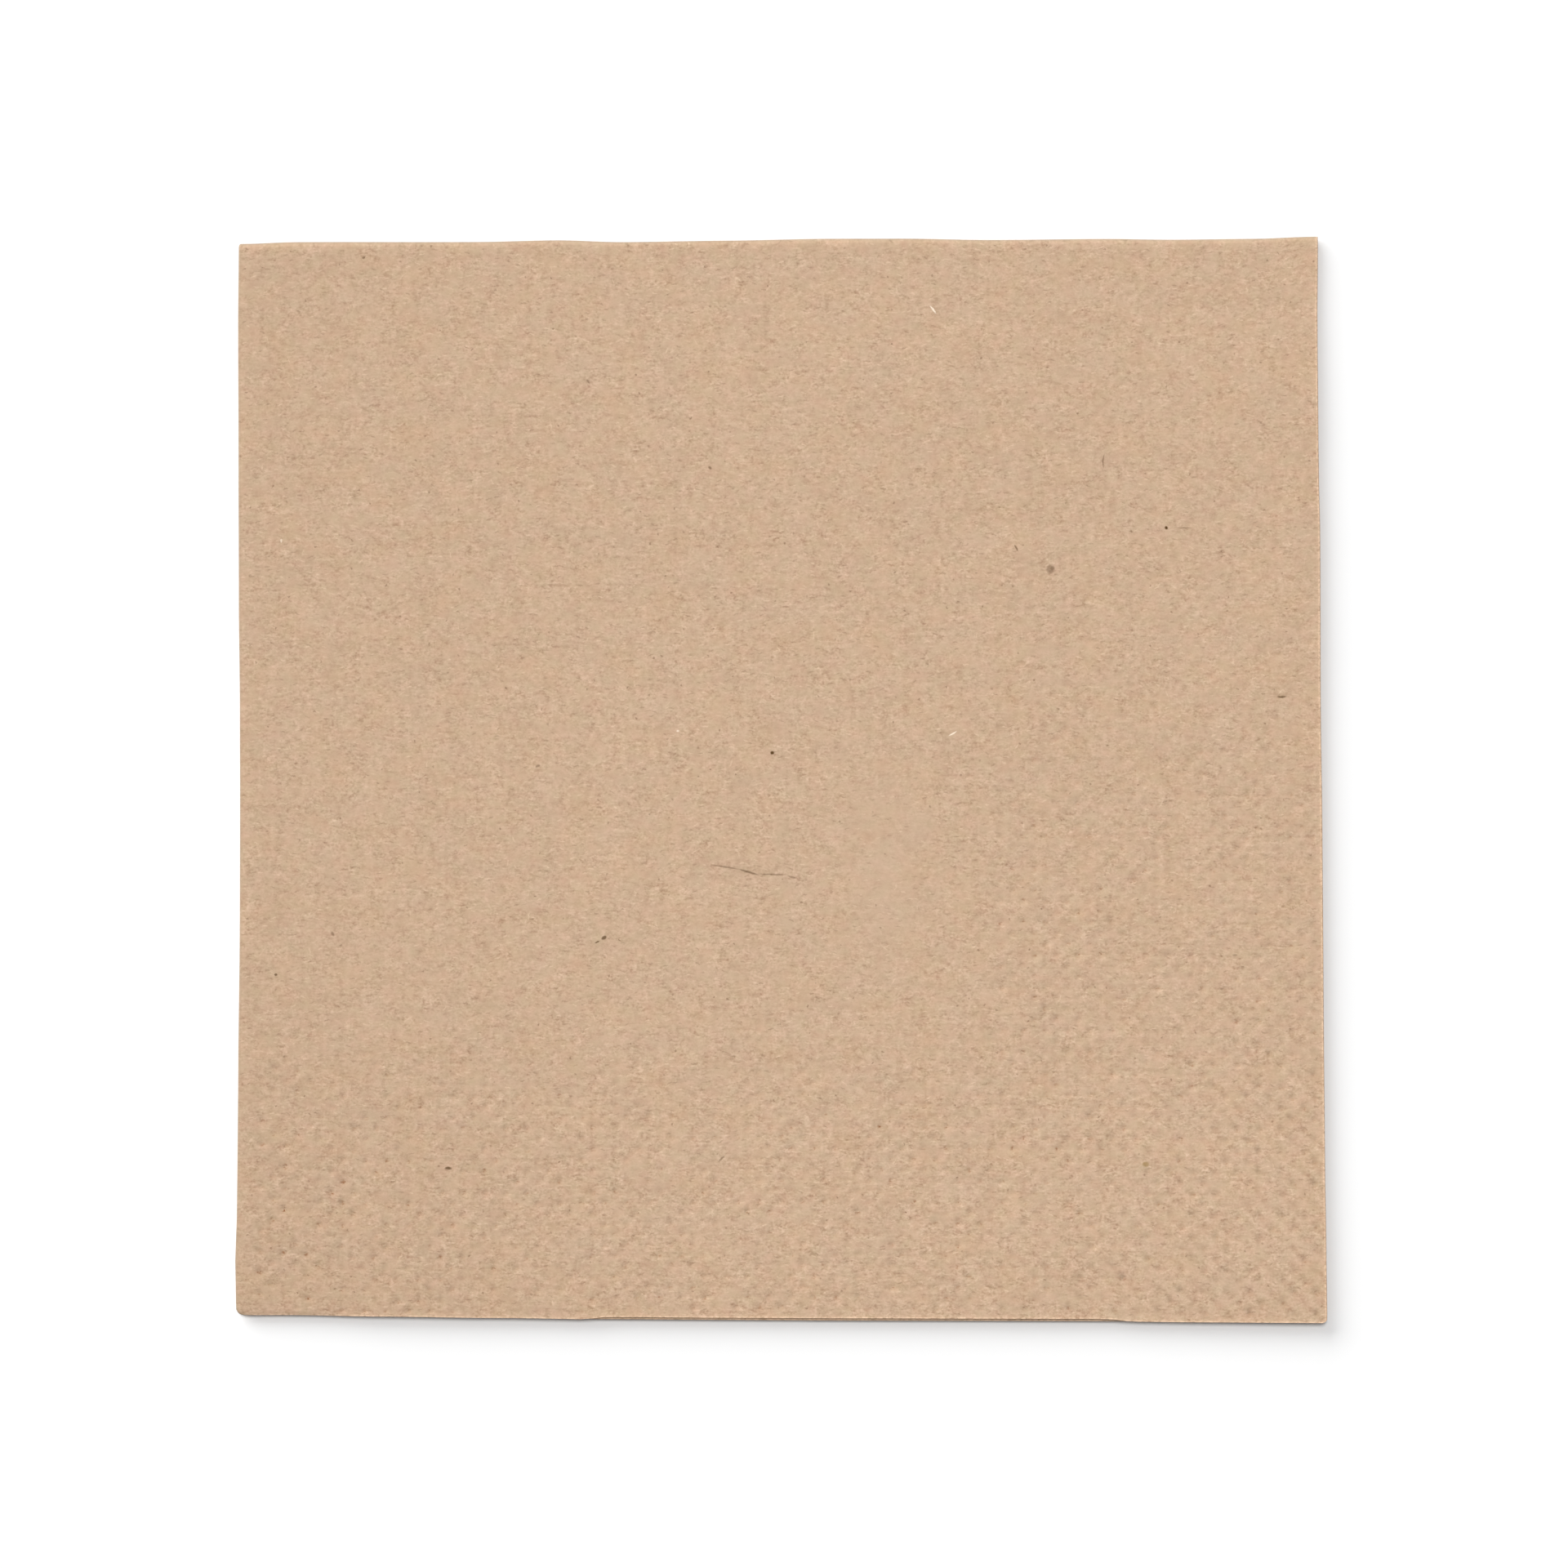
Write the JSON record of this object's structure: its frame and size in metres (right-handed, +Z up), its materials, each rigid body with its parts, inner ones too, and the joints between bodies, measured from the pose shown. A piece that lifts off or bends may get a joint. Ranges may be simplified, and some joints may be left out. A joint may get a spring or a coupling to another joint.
{
  "type": "paper napkin",
  "caption": "Small square brown paper napkin, quarter folded and lying flat, with a dotted embossed border along its open edges.",
  "frame": {"origin": "centre of the folded packet's underside", "axes": "+Z up out of the packet's face; +X from the first fold towards the open edges at the right; +Y from the open edges at the front towards the second fold"},
  "size_m": [0.127, 0.1272, 0.0013],
  "materials": {
    "napkin_paper": "matte"
  },
  "bodies": {
    "root": {"napkin": "napkin_paper"}
  },
  "joints": []
}
